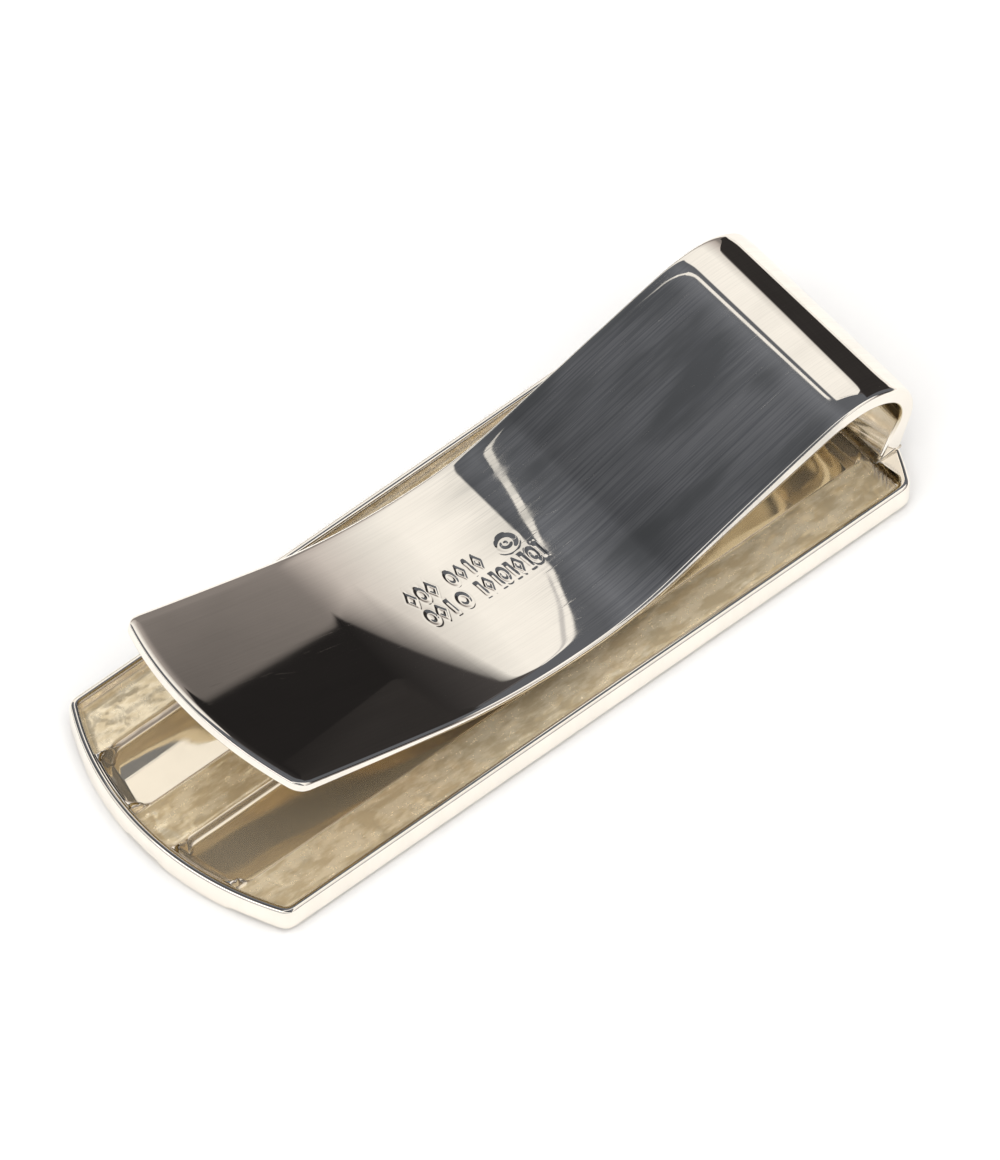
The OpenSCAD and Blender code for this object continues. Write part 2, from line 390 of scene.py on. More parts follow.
class StripShape:
    """The strip's side view, walked from the foot to the free end, in millimetres."""

    def __init__(self, sizes):
        step = 0.01
        knots = np.cumsum([0.0] + [r[0] for r in STRIP_RUNS])
        s = np.arange(0.0, knots[-1], step)
        slope = np.zeros_like(s)
        for (length, a, b), start in zip(STRIP_RUNS, knots):
            on = (s >= start - 1e-9) & (s <= start + length + 1e-9)
            slope[on] = a + (b - a) * (s[on] - start) / length
        slope = self.blur(slope, step, 0.22)
        turn = np.radians(slope)
        dx, dz = -np.cos(turn), np.sin(turn)
        x = np.concatenate([[0.0], np.cumsum((dx[1:] + dx[:-1]) / 2 * step)])
        z = np.concatenate([[0.0], np.cumsum((dz[1:] + dz[:-1]) / 2 * step)])
        top = np.argmin(np.abs(s - FOLD_TOP))
        x, z = x - x[top] + TOP_POINT[0], z - z[top] + TOP_POINT[1]
        thick = self.blur(np.interp(s, *np.array(THICKNESS).T), step, 1.2)
        nx, nz = np.sin(turn), np.cos(turn)
        ix, iz = x - nx * thick, z - nz * thick
        foot = s < FOLD_START
        share = s[foot] / FOLD_START
        joint = np.argmin(np.abs(s - FOLD_START))
        ix[foot] = FOOT_INNER[0] + (ix[joint] - FOOT_INNER[0]) * share
        iz[foot] = FOOT_INNER[1] + (iz[joint] - FOOT_INNER[1]) * share
        self.s, self.x, self.z, self.nx, self.nz, self.ix, self.iz = s, x, z, nx, nz, ix, iz
        self.length = float(s[np.argmax(x < TIP_X)])
        self.half = sizes.strip_width / MM / 2
        self.fold_half = sizes.fold_width / MM / 2
        self.crown = sizes.strip_crown / MM

    @staticmethod
    def blur(values, step, width):
        """Rounds the corners of a profile over about width."""
        reach = int(3 * width / step)
        weights = np.exp(-0.5 * (np.arange(-reach, reach + 1) * step / width) ** 2)
        padded = np.concatenate([np.full(reach, values[0]), values, np.full(reach, values[-1])])
        return np.convolve(padded, weights / weights.sum(), mode="valid")

    def at(self, values, s):
        return np.interp(s, self.s, values)

    def where(self, x):
        """Distance along the strip of a place on the moving leaf."""
        leaf = self.s > FOLD_TOP
        return float(np.interp(-x, -self.x[leaf], self.s[leaf]))

    def outline(self):
        return PlanOutline(self.half, (0.0, 4000.0, 0.12), (self.length, TIP_BOW, TIP_CORNER), low_inset=0.0)

    def width_at(self, s):
        share = np.clip((s - FOLD_TOP) / (self.length - FOLD_TOP), 0.0, 1.0)
        return (self.fold_half + (self.half - self.fold_half) * share) / self.half


# two rows of small generic marks: (distance off the middle, height, marks), each mark (place along the clip,
# length, shape)
LOZENGE, BAR, RING, OVAL = range(4)
MARK_ROWS = (
    (1.0, 1.15, ((-4.9, 0.65, LOZENGE), (-4.15, 0.6, OVAL), (-3.45, 0.65, LOZENGE), (-2.05, 0.6, OVAL),
                 (-1.35, 0.55, LOZENGE), (-0.7, 0.25, BAR), (-0.15, 0.55, LOZENGE), (1.95, 1.25, RING))),
    (-0.6, 1.12, ((-4.75, 0.65, OVAL), (-4.05, 0.65, LOZENGE), (-3.35, 0.25, BAR), (-2.45, 0.75, OVAL),
                  (-1.15, 0.25, BAR), (-0.65, 0.55, LOZENGE), (-0.05, 0.25, BAR), (0.45, 0.55, OVAL),
                  (1.0, 0.25, BAR), (1.5, 0.55, LOZENGE), (2.05, 0.25, BAR), (2.6, 0.55, OVAL),
                  (3.1, 0.25, BAR))),
)


def punch_relief(shape, s, y):
    """Depth share of the punched marks: generic lozenges, bars, ovals and one ring, in two rows."""
    depth = np.zeros_like(s)
    marks = [(x0, y0, long, high, kind) for y0, high, row in MARK_ROWS for x0, long, kind in row]
    for x0, y0, long, high, kind in marks:
        u = -(s - shape.where(x0)) / (long / 2)
        v = (y - y0) / (high / 2)
        near = (np.abs(u) < 1.8) & (np.abs(v) < 1.8)
        if not near.any():
            continue
        uu, vv = u[near], v[near]
        if kind == LOZENGE:
            inside = 1 - (np.abs(uu) + np.abs(vv) * 0.9)
        elif kind == BAR:
            inside = 1 - np.maximum(np.abs(uu + 0.25 * vv), np.abs(vv))
        else:
            inside = 1 - np.hypot(uu, vv)
        cut = smooth(inside, -0.12, 0.28)
        if kind != BAR:
            cut = cut * (1 - 0.75 * smooth(inside, 0.35, 0.65))
        if kind == RING:
            cut = np.maximum(cut, 0.8 * smooth(0.22 - np.hypot(uu * 1.2, vv - 0.05), -0.05, 0.1))
        lip = -0.22 * np.exp(-((inside + 0.22) / 0.14) ** 2)
        depth[near] = np.where(np.abs(cut) > np.abs(depth[near]), cut, depth[near]) + lip * (cut < 0.2)
    return depth


EDGE_TURNS = 7
OUTER_EDGE = (0.32, 0.17)     # inset and drop of the outer edges' rounding
INNER_EDGE = (0.20, 0.13)
CROWN_HALF = 7.3              # half width over which the crown falls


def build_spring_strip(sizes):
    shape = StripShape(sizes)
    angles = np.linspace(0.0, math.pi / 2, EDGE_TURNS)
    under = [(INNER_EDGE[0] * (1 - math.sin(a)), -1, INNER_EDGE[1] * (1 - math.cos(a))) for a in angles]
    over = [(OUTER_EDGE[0] * (1 - math.sin(a)), 1, OUTER_EDGE[1] * (1 - math.cos(a))) for a in angles[::-1]]
    layers = under + over
    top_layer = len(layers) - 1
    outline = shape.outline()
    depth = sizes.punch_depth / MM

    def place(layer, s, plan_y):
        inset, side, drop = layers[layer]
        y = -plan_y * shape.width_at(s)
        ox, oz, nx, nz = (shape.at(v, s) for v in (shape.x, shape.z, shape.nx, shape.nz))
        fade = smooth(s, FOLD_TOP + 1.0, FOLD_TOP + 7.0)
        crown = shape.crown * fade * ((y / CROWN_HALF) ** 2 - 0.45)
        if side > 0:
            tip = outline.high_end[0] - end_fall(plan_y, outline.half, TIP_BOW, TIP_CORNER) - s
            edge = np.minimum(outline.half - np.abs(plan_y), np.maximum(tip, 0.0))
            edge = np.maximum(edge, inset)
            sink = drop + crown
            sink = sink + ((0.050 - 0.022 * fade) * np.exp(-(edge / (0.66 - 0.24 * fade)) ** 2)
                           * smooth(s, 0.0, 2.0))
            if layer == top_layer:
                sink = sink + depth * punch_relief(shape, s, y)
            px, pz = ox - nx * sink, oz - nz * sink
        else:
            rise = drop - crown
            px, pz = shape.at(shape.ix, s) + nx * rise, shape.at(shape.iz, s) + nz * rise
        return np.stack([px, y, pz], axis=-1)

    half = shape.half
    edges = [(0.0, 0.9, 0.06), (2 * half - 0.9, 2 * half, 0.06)]
    rows = clustered(2 * half, 0.25, edges + [(half - 1.6, half + 1.7, 0.055)]) * 2 - 1
    marks = (shape.where(4.0), shape.where(-5.7))
    col_zones = [(marks[0], marks[1], 0.055), (shape.length - 1.0, shape.length, 0.06),
                 (FOLD_START, FOLD_TOP + 4.5, 0.12)]
    cols = clustered(shape.length, 0.24, col_zones)
    turning = len(layers) // 2 - 1

    def inner_mask(points, plans):
        """1 on the strip's inner side, which is coloured a darker brown inside the fold and under the leaf:
        partly tarnish, partly a painted reflection of the brown tray.
        """
        under_side, round_edge = len(rows) * len(cols), 2 * (len(rows) + len(cols)) - 4
        inner = np.zeros(len(points))
        inner[:under_side + round_edge * (turning - 1)] = 1.0
        return inner * smooth(plans[:, 0], 1.0, 3.0)

    return skin_mesh("spring_strip_silver", outline, rows, cols, [p[0] for p in layers], place,
                     ("inner", inner_mask))


# ---------------------------------------------------------------- solder seam

def build_solder_seam(sizes):
    """A thin run of solder under the foot with a hollow fillet along both of its sides."""
    shape = StripShape(sizes)
    rim = sizes.rim_height / MM
    inner, outer = FOOT_INNER[0], float(shape.x[0])
    legs = []
    for a in np.linspace(0.0, 1.0, 9):
        fall = math.cos(a * math.pi / 2)
        legs.append((1 - fall, 1 - math.sin(a * math.pi / 2)))
    profile = [(inner + 0.2, rim - 0.02), (outer - 0.2, rim - 0.02), (outer + 0.15, rim - 0.02)]
    profile += [(outer + 0.15 * (1 - u), rim + 0.02 + 0.16 * (1 - w)) for u, w in legs]
    profile += [(inner + 0.30 - 0.52 * u, rim + 0.52 * w) for u, w in legs]
    ring = np.array(profile)
    half = sizes.fold_width / MM / 2
    stations = np.concatenate([[-half + 0.02, -half + 0.06], np.linspace(-half + 0.12, half - 0.12, 160),
                               [half - 0.06, half - 0.02]])
    wobble = 0.03 * cast_noise(stations, stations * 0 + 3.0, 0.9, 9)
    rng_in = 0.03 * cast_noise(stations, stations * 0 + 7.0, 0.6, 11)
    points, faces, k = [], [], len(ring)
    centre = ring.mean(axis=0)
    for j, y in enumerate(stations):
        shrink = 0.55 if j in (0, len(stations) - 1) else 1.0
        for x, z in ring:
            lift = (z - rim) > 0.05
            px = centre[0] + (x - centre[0]) * (1 if shrink == 1.0 else 0.9)
            pz = rim - 0.02 + (z - rim + 0.02) * shrink
            px += (wobble[j] if x > centre[0] else -rng_in[j]) * (0.4 + 0.6 * lift)
            points.append((px * MM, y * MM, pz * MM))
    for j in range(len(stations) - 1):
        for i in range(k):
            a, b = j * k + i, j * k + (i + 1) % k
            faces.append((a, b, b + k, a + k))
    faces.append(tuple(range(k - 1, -1, -1)))
    faces.append(tuple((len(stations) - 1) * k + i for i in range(k)))
    mesh = bpy.data.meshes.new("solder_seam_fillet")
    mesh.from_pydata(points, [], faces)
    mesh.shade_smooth()
    obj = bpy.data.objects.new("solder_seam_fillet", mesh)
    bpy.context.scene.collection.objects.link(obj)
    return obj


# ---------------------------------------------------------------- silver

class NodeBench:
    """Short calls for wiring a node tree."""

    def __init__(self, tree):
        self.tree, self.links = tree, tree.links
        tree.nodes.clear()

    def add(self, kind, **settings):
        node = self.tree.nodes.new(kind)
        for key, value in settings.items():
            setattr(node, key, value)
        return node

    def put(self, socket, value):
        if isinstance(value, bpy.types.NodeSocket):
            self.links.new(value, socket)
        else:
            socket.default_value = value

    def math(self, operation, a, b=0.0, c=0.0):
        node = self.add("ShaderNodeMath", operation=operation)
        for socket, value in zip(node.inputs, (a, b, c)):
            self.put(socket, value)
        return node.outputs[0]

    def step(self, value, low, high, to_low=0.0, to_high=1.0):
        node = self.add("ShaderNodeMapRange", interpolation_type="SMOOTHSTEP")
        for socket, v in zip(node.inputs, (value, low, high, to_low, to_high)):
            self.put(socket, v)
        return node.outputs[0]

    def band(self, value, rise, fall):
        """1 between a rise and a fall, each given as (0 here, 1 here)."""
        return self.math("MULTIPLY", self.step(value, *rise), self.step(value, *fall))

    def clamped(self, value):
        node = self.add("ShaderNodeClamp")
        self.put(node.inputs[0], value)
        return node.outputs[0]

    def curve(self, value, points):
        """A value read from a curve through points, which run up in their first number."""
        low, high = points[0][0], points[-1][0]
        share = self.add("ShaderNodeMapRange")
        for socket, v in zip(share.inputs, (value, low, high, 0.0, 1.0)):
            self.put(socket, v)
        node = self.add("ShaderNodeFloatCurve")
        marks = node.mapping.curves[0].points
        while len(marks) < len(points):
            marks.new(0.5, 0.5)
        for mark, (at, height) in zip(marks, points):
            mark.location = ((at - low) / (high - low), height)
            mark.handle_type = "VECTOR"
        node.mapping.update()
        self.put(node.inputs["Value"], share.outputs[0])
        return node.outputs[0]

    def tint(self, strength, colour):
        """A grey strength turned into a colour."""
        node = self.add("ShaderNodeCombineXYZ")
        for socket, c in zip(node.inputs, colour):
            self.put(socket, self.math("MULTIPLY", strength, c))
        return node.outputs[0]

    def mix(self, share, a, b):
        node = self.add("ShaderNodeMix", data_type="RGBA")
        self.put(node.inputs[0], share)
        self.put(node.inputs[6], a)
        self.put(node.inputs[7], b)
        return node.outputs[2]

    def noise(self, vector, scale, detail=2.0, rough=0.5, stretch=(1.0, 1.0, 1.0)):
        mapping = self.add("ShaderNodeMapping")
        self.put(mapping.inputs["Vector"], vector)
        mapping.inputs["Scale"].default_value = stretch
        node = self.add("ShaderNodeTexNoise")
        self.put(node.inputs["Vector"], mapping.outputs[0])
        node.inputs["Scale"].default_value = scale
        node.inputs["Detail"].default_value = detail
        node.inputs["Roughness"].default_value = rough
        return node.outputs["Fac"]


def tone(colour, gain, shift=(0.0, 0.0, 0.0)):
    """A colour made lighter or darker and shifted a little."""
    return tuple(min(max(c * gain + d, 0.0), 1.0) for c, d in zip(colour, shift)) + (1.0,)


def make_spring_silver(finish):
    """Polished silver with fine lengthwise scratches, a few deeper ones, a faint haze in places, and darker
    bluish streaks and patches in its colour on the leaf's first stretch past the fold.
    """
    material = bpy.data.materials.new("polished_spring_silver")
    material.use_nodes = True
    bench = NodeBench(material.node_tree)
    out = bench.add("ShaderNodeOutputMaterial")
    shader = bench.add("ShaderNodeBsdfPrincipled")
    shader.inputs["Metallic"].default_value = 1.0
    bench.put(out.inputs["Surface"], shader.outputs[0])
    lay = bench.add("ShaderNodeAttribute", attribute_name="lay_of_metal").outputs["Vector"]
    cloud = bench.noise(lay, 0.35, 3.0)
    brushed = bench.noise(lay, 1.0, 4.0, 0.65, stretch=(0.10, 7.0, 1.0))
    long_marks = bench.noise(lay, 1.0, 2.0, 0.5, stretch=(0.20, 9.0, 1.0))
    turned = bench.add("ShaderNodeMapping")
    bench.put(turned.inputs["Vector"], lay)
    turned.inputs["Rotation"].default_value = (0.0, 0.0, 0.30)
    stray = bench.noise(turned.outputs[0], 1.0, 2.0, 0.5, stretch=(0.30, 11.0, 1.0))
    nicks = bench.noise(lay, 2.2, 2.0, 0.5)
    deep = bench.math("ADD", bench.step(long_marks, 0.68, 0.74), bench.step(stray, 0.72, 0.77))
    deep = bench.math("ADD", deep, bench.step(nicks, 0.77, 0.80))
    # the leaf's first stretch past the fold gets darker bluish streaks and patches in its colour, more haze,
    # and its scratches show more
    split = bench.add("ShaderNodeSeparateXYZ")
    bench.put(split.inputs[0], lay)
    near_fold_stretch = bench.math("MULTIPLY", bench.step(split.outputs[0], 32.0, 24.0, 0.10, 1.0),
                      bench.step(split.outputs[0], 9.8, 12.6, 0.15, 1.0))
    colour = bench.mix(bench.step(cloud, 0.35, 0.7), tone(finish.silver, 1.0), tone(finish.silver, 0.97))
    drawn = bench.math("MULTIPLY", bench.step(brushed, 0.38, 0.68), near_fold_stretch)
    colour = bench.mix(drawn, colour, tone(finish.silver, 0.62, (0.0, 0.01, 0.03)))
    # darker patches in the colour, mostly on the leaf's first stretch past the fold
    patch_noise = bench.noise(lay, 0.28, 3.0, 0.55, stretch=(0.35, 1.2, 1.0))
    dark_patch = bench.math("MULTIPLY", bench.step(patch_noise, 0.42, 0.68), near_fold_stretch)
    colour = bench.mix(dark_patch, colour, tone(finish.silver, 0.56, (0.0, 0.01, 0.01)))
    # the inner side turns a darker brown: partly tarnish, partly a painted reflection of the brown tray
    inside = bench.add("ShaderNodeAttribute", attribute_name="inner").outputs["Fac"]
    brown = tone(finish.tarnish, 0.60, (0.02, 0.0, -0.05))
    colour = bench.mix(bench.math("MULTIPLY", inside, 0.92), colour, brown)
    bench.put(shader.inputs["Base Color"], colour)
    smear = bench.noise(lay, 0.9, 3.0, 0.6, stretch=(0.5, 1.0, 1.0))
    haze = bench.math("MULTIPLY", near_fold_stretch, bench.step(smear, 0.42, 0.75, 0.0, 0.07))
    rough = bench.math("ADD", haze, bench.math("MULTIPLY", bench.math("MULTIPLY", deep, near_fold_stretch), 0.22))
    rough = bench.math("ADD", rough, bench.math("MULTIPLY", inside, 0.13))
    bench.put(shader.inputs["Roughness"], bench.math("ADD", rough, 0.018))
    height = bench.math("ADD", bench.math("MULTIPLY", brushed, 0.10), bench.math("MULTIPLY", deep, -0.35))
    bump = bench.add("ShaderNodeBump")
    bench.put(bump.inputs["Strength"], bench.math("MULTIPLY", near_fold_stretch, 0.10))
    bump.inputs["Distance"].default_value = 0.00002
    bench.put(bump.inputs["Height"], height)
    bench.put(shader.inputs["Normal"], bump.outputs[0])
    return material


def make_plate_silver(finish):
    """Polished silver outside; inside the tray warmer, duller and grainy where the casting was left rough."""
    material = bpy.data.materials.new("cast_plate_silver")
    material.use_nodes = True
    bench = NodeBench(material.node_tree)
    out = bench.add("ShaderNodeOutputMaterial")
    shader = bench.add("ShaderNodeBsdfPrincipled")
    shader.inputs["Metallic"].default_value = 1.0
    bench.put(out.inputs["Surface"], shader.outputs[0])
    lay = bench.add("ShaderNodeAttribute", attribute_name="lay_of_metal").outputs["Vector"]
    tray = bench.add("ShaderNodeAttribute", attribute_name="tray").outputs["Fac"]
    split = bench.add("ShaderNodeSeparateXYZ")
    bench.put(split.inputs[0], lay)
    off_middle = bench.math("ABSOLUTE", split.outputs[1])
    off_hollow = bench.math("ABSOLUTE", bench.math("SUBTRACT", off_middle, (RIB_OUT + MID_HALF) / 2))
    on_band = bench.math("MULTIPLY", tray, bench.step(off_hollow, 2.15, 2.35))
    cloud = bench.noise(lay, 0.7, 4.0, 0.6)
    grain = bench.noise(lay, 3.2, 4.0, 0.7)
    patch = bench.noise(lay, 1.0, 5.0, 0.62, stretch=(0.45, 1.3, 1.0))
    bright = bench.mix(bench.step(cloud, 0.35, 0.7), tone(finish.silver, 1.0), tone(finish.silver, 0.96))
    stained = bench.mix(bench.step(patch, 0.42, 0.60), tone(finish.tarnish, 1.16, (0.0, 0.0, -0.02)),
                        tone(finish.tarnish, 0.82, (0.02, -0.02, -0.08)))
    stained = bench.mix(on_band, tone(finish.tarnish, 1.10), stained)
    share = bench.math("MULTIPLY", tray, bench.math("ADD", bench.math("MULTIPLY", on_band, 0.40), 0.50))
    bench.put(shader.inputs["Base Color"], bench.mix(share, bright, stained))
    # the as-cast bands scatter light like a matt film; the hollows only a little
    film = bench.math("ADD", bench.math("MULTIPLY", on_band, 0.38), bench.math("MULTIPLY", tray, 0.14))
    bench.put(shader.inputs["Metallic"], bench.math("SUBTRACT", 1.0, film))
    polish = bench.step(cloud, 0.4, 0.7, 0.02, 0.05)
    dull = bench.math("MULTIPLY", bench.step(grain, 0.35, 0.7, 0.10, 0.30),
                      bench.step(patch, 0.58, 0.44, 0.5, 1.0))
    bench.put(shader.inputs["Roughness"], bench.math("ADD", polish, bench.math("MULTIPLY", on_band, dull)))
    scratch = bench.noise(lay, 1.0, 4.0, 0.6, stretch=(0.4, 12.0, 1.0))
    coarse = bench.math("MULTIPLY", on_band, bench.math("MULTIPLY", grain, 2.4))
    bump = bench.add("ShaderNodeBump")
    bump.inputs["Strength"].default_value = 0.25
    bump.inputs["Distance"].default_value = 0.00002
    bench.put(bump.inputs["Height"], bench.math("ADD", coarse, bench.math("MULTIPLY", scratch, 0.06)))
    bench.put(shader.inputs["Normal"], bump.outputs[0])
    return material


def make_solder_silver(finish):
    """Hard solder: satin, a little yellow, with small ripples."""
    material = bpy.data.materials.new("satin_solder")
    material.use_nodes = True
    bench = NodeBench(material.node_tree)
    out = bench.add("ShaderNodeOutputMaterial")
    shader = bench.add("ShaderNodeBsdfPrincipled")
    shader.inputs["Metallic"].default_value = 1.0
    bench.put(out.inputs["Surface"], shader.outputs[0])
    where = bench.add("ShaderNodeTexCoord").outputs["Object"]
    ripple = bench.noise(where, 2600.0, 3.0, 0.6)
    bench.put(shader.inputs["Base Color"],
              bench.mix(bench.step(ripple, 0.35, 0.65), tone(finish.solder, 1.0), tone(finish.solder, 0.78)))
    bench.put(shader.inputs["Roughness"], bench.step(ripple, 0.3, 0.7, 0.16, 0.34))
    bump = bench.add("ShaderNodeBump")
    bump.inputs["Strength"].default_value = 0.35
    bump.inputs["Distance"].default_value = 0.00003
    bench.put(bump.inputs["Height"], ripple)
    bench.put(shader.inputs["Normal"], bump.outputs[0])
    return material


# ---------------------------------------------------------------- stage

def make_floor(stage):
    """A wide sheet of pale paper with the faintest tooth."""
    material = bpy.data.materials.new("pale_paper")
    material.use_nodes = True
    bench = NodeBench(material.node_tree)
    out = bench.add("ShaderNodeOutputMaterial")
    shader = bench.add("ShaderNodeBsdfPrincipled")
    bench.put(out.inputs["Surface"], shader.outputs[0])
    shader.inputs["Specular IOR Level"].default_value = 0.0
    shader.inputs["Roughness"].default_value = 1.0
    where = bench.add("ShaderNodeTexCoord").outputs["Object"]
    tooth = bench.noise(where, 900.0, 2.0)
    bench.put(shader.inputs["Base Color"],
              bench.mix(tooth, tone(stage.floor_colour, 1.0), tone(stage.floor_colour, 0.99)))
    size = 3.0
    mesh = bpy.data.meshes.new("floor")
    turns = 96
    ring = [(size * math.cos(2 * math.pi * k / turns), size * math.sin(2 * math.pi * k / turns), 0.0)
            for k in range(turns)]
    mesh.from_pydata(ring, [], [tuple(range(turns))])
    floor = bpy.data.objects.new("floor", mesh)
    floor.location.z = CAD_BOX[0].z - 0.00001
    mesh.materials.append(material)
    bpy.context.scene.collection.objects.link(floor)
    return floor


# each pair gives how far round from overhead towards the fold, in degrees, then how bright, how far
# to the side, or how soft that part of the room is there
SLATE_TONES = ((-17, 0.052), (-10.5, 0.128), (8, 0.187), (17, 0.13))     # the room, lightest near overhead
BOX_TONES = ((38, 1.0), (56.5, 0.60), (67, 0.20), (90, 0.17))            # the softbox fades outwards
DARK_TONES = ((42, 0.074), (64, 0.017))                                  # the cloth under it
DARK_TOP = ((30, 0.345), (64, 0.463), (68.6, 0.443), (69.1, 0.475))      # its slanted upper edge
DARK_BLUR = ((41, 0.004), (55, 0.045), (63, 0.004))                      # how soft that edge is
SLATE_TINT, CLOTH_TINT = (0.93, 1.0, 1.16), (1.0, 0.93, 0.95)
WARM_WHITE, ROSE_WHITE = (1.0, 0.985, 0.96), (1.04, 0.95, 0.92)
BOX_START, BOX_SLANT = 16.6, 290.0        # where the softbox starts, and how fast its side slants away
BOX_CORNER = (15.8, 0.432)                # a point on that slanted side: degrees round, and to the side
BAR_COLOUR, BAR_AT = (0.30, 0.30, 0.33, 1), 3.0
SLIT_AT, SLIT_LEAN = (1.5, 0.506), -0.0054
SLIT_WANDER, SLIT_WAVE = 0.0022, 0.55
SIDE_LIGHT, LAMP_LIGHT, STRIP_LIGHT = (0.85, 0.85, 0.85, 1), (3.0, 3.0, 3.1, 1), (1.25, 1.25, 1.25, 1)
SEEN_DIRECTLY = (0.93, 0.93, 0.93, 1)     # the backdrop beyond the floor


def softbox_colour(bench, arc, side, from_start):
    """The softbox with dark cloth below it, parted by a soft slanted edge, and a grey frame bar."""
    drop = bench.math("MULTIPLY", bench.step(arc, 56.0, 64.0), bench.step(side, 0.53, 0.45, -0.25, 0.30))
    tones = bench.math("MULTIPLY", bench.curve(arc, BOX_TONES), bench.math("SUBTRACT", 1.0, drop))
    pale = bench.mix(bench.step(arc, 42.0, 66.0), bench.tint(tones, WARM_WHITE), bench.tint(tones, ROSE_WHITE))
    black = bench.tint(bench.curve(arc, DARK_TONES), CLOTH_TINT)
    above = bench.math("SUBTRACT", side, bench.curve(arc, DARK_TOP))
    share = bench.clamped(bench.math("DIVIDE", above, bench.curve(arc, DARK_BLUR)))
    soft = bench.math("MULTIPLY", bench.math("POWER", share, 0.8), 0.88)
    clear = bench.math("MULTIPLY", bench.step(above, -0.002, 0.002), bench.math("ADD", soft, 0.12))
    below_cloth = bench.math("MULTIPLY", bench.step(side, 0.30, 0.24), bench.step(arc, 36.0, 50.0))
    box = bench.mix(bench.math("MAXIMUM", clear, below_cloth), black, pale)
    off_bar = bench.math("ABSOLUTE", bench.math("SUBTRACT", from_start, BAR_AT))
    bar = bench.math("MULTIPLY", bench.step(off_bar, 1.0, 0.3), bench.step(side, 0.432, 0.424))
    return bench.mix(bench.math("MULTIPLY", bar, 0.55), box, BAR_COLOUR)


def slit_share(bench, arc, side):
    """A thin bright slit beside the softbox, leaning and a little wavy, and narrower next to the box."""
    start, middle = SLIT_AT
    lean = bench.math("MULTIPLY", bench.math("SUBTRACT", arc, start), SLIT_LEAN)
    wave = bench.math("MULTIPLY", bench.math("SINE", bench.math("MULTIPLY", arc, SLIT_WAVE)), SLIT_WANDER)
    centre = bench.math("ADD", bench.math("ADD", lean, middle), wave)
    near = bench.math("ABSOLUTE", bench.math("SUBTRACT", side, centre))
    spread = bench.math("SUBTRACT", near, bench.step(side, 0.450, 0.464, 0.0, 0.0042))
    return bench.math("MULTIPLY", bench.step(spread, 0.0062, 0.0036),
                      bench.band(side, (0.438, 0.442), (0.56, 0.53)))


def make_studio_light():
    """Light by direction: a pale softbox over the fold end, dark cloth below it, and a grey room."""
    world = bpy.data.worlds.new("studio")
    bpy.context.scene.world = world
    world.use_nodes = True
    bench = NodeBench(world.node_tree)
    out = bench.add("ShaderNodeOutputWorld")
    back = bench.add("ShaderNodeBackground")
    bench.put(out.inputs["Surface"], back.outputs[0])
    split = bench.add("ShaderNodeSeparateXYZ")
    bench.put(split.inputs[0], bench.add("ShaderNodeTexCoord").outputs["Generated"])
    x, y, z = split.outputs
    arc = bench.math("DEGREES", bench.math("ARCTAN2", x, z))
    side = bench.math("ABSOLUTE", y)
    warm = WARM_WHITE + (1,)
    # the softbox starts on a straight line, which slants away towards the middle of the room
    slant_arc, slant_side = BOX_CORNER
    slant = bench.math("MULTIPLY", bench.math("SUBTRACT", slant_side, side), BOX_SLANT)
    start = bench.math("MAXIMUM", bench.math("ADD", slant, slant_arc), BOX_START)
    from_start = bench.math("SUBTRACT", arc, start)
    on_box = bench.math("MULTIPLY", bench.step(from_start, -0.5, 0.6), bench.step(side, 0.16, 0.22))
    colour = bench.mix(on_box, bench.tint(bench.curve(arc, SLATE_TONES), SLATE_TINT),
                       softbox_colour(bench, arc, side, from_start))
    colour = bench.mix(slit_share(bench, arc, side), colour, warm)
    colour = bench.mix(bench.step(arc, 83.0, 87.0), colour, warm)      # bright paper near the horizon
    # soft white light on the other side of the room
    colour = bench.mix(bench.band(arc, (-86.0, -78.0), (-34.0, -44.0)), colour, SIDE_LIGHT)
    # a narrow lamp away from the fold, and a long strip light on the -Y side
    lamp = bench.math("MULTIPLY", bench.band(arc, (-60.0, -58.0), (-51.0, -53.0)),
                      bench.step(side, 0.42, 0.36))
    colour = bench.mix(lamp, colour, LAMP_LIGHT)
    strip = bench.math("MULTIPLY", bench.band(y, (-0.42, -0.39), (-0.24, -0.27)),
                       bench.band(arc, (-50.0, -45.0), (60.0, 50.0)))
    colour = bench.mix(strip, colour, STRIP_LIGHT)
    seen = bench.add("ShaderNodeLightPath").outputs["Is Camera Ray"]
    bench.put(back.inputs["Color"], bench.mix(seen, colour, SEEN_DIRECTLY))
    back.inputs["Strength"].default_value = 1.0


# the dark flag near the fold, seen from the clip: (across the clip, height) of its slanted upper edge
FLAG_EDGE = ((10.0, 80.0), (30.0, 75.0), (38.0, 62.0), (44.0, 56.0))
FLAG_X, FLAG_LOW, FLAG_SOFT = 80.0, 13.0, 6.5


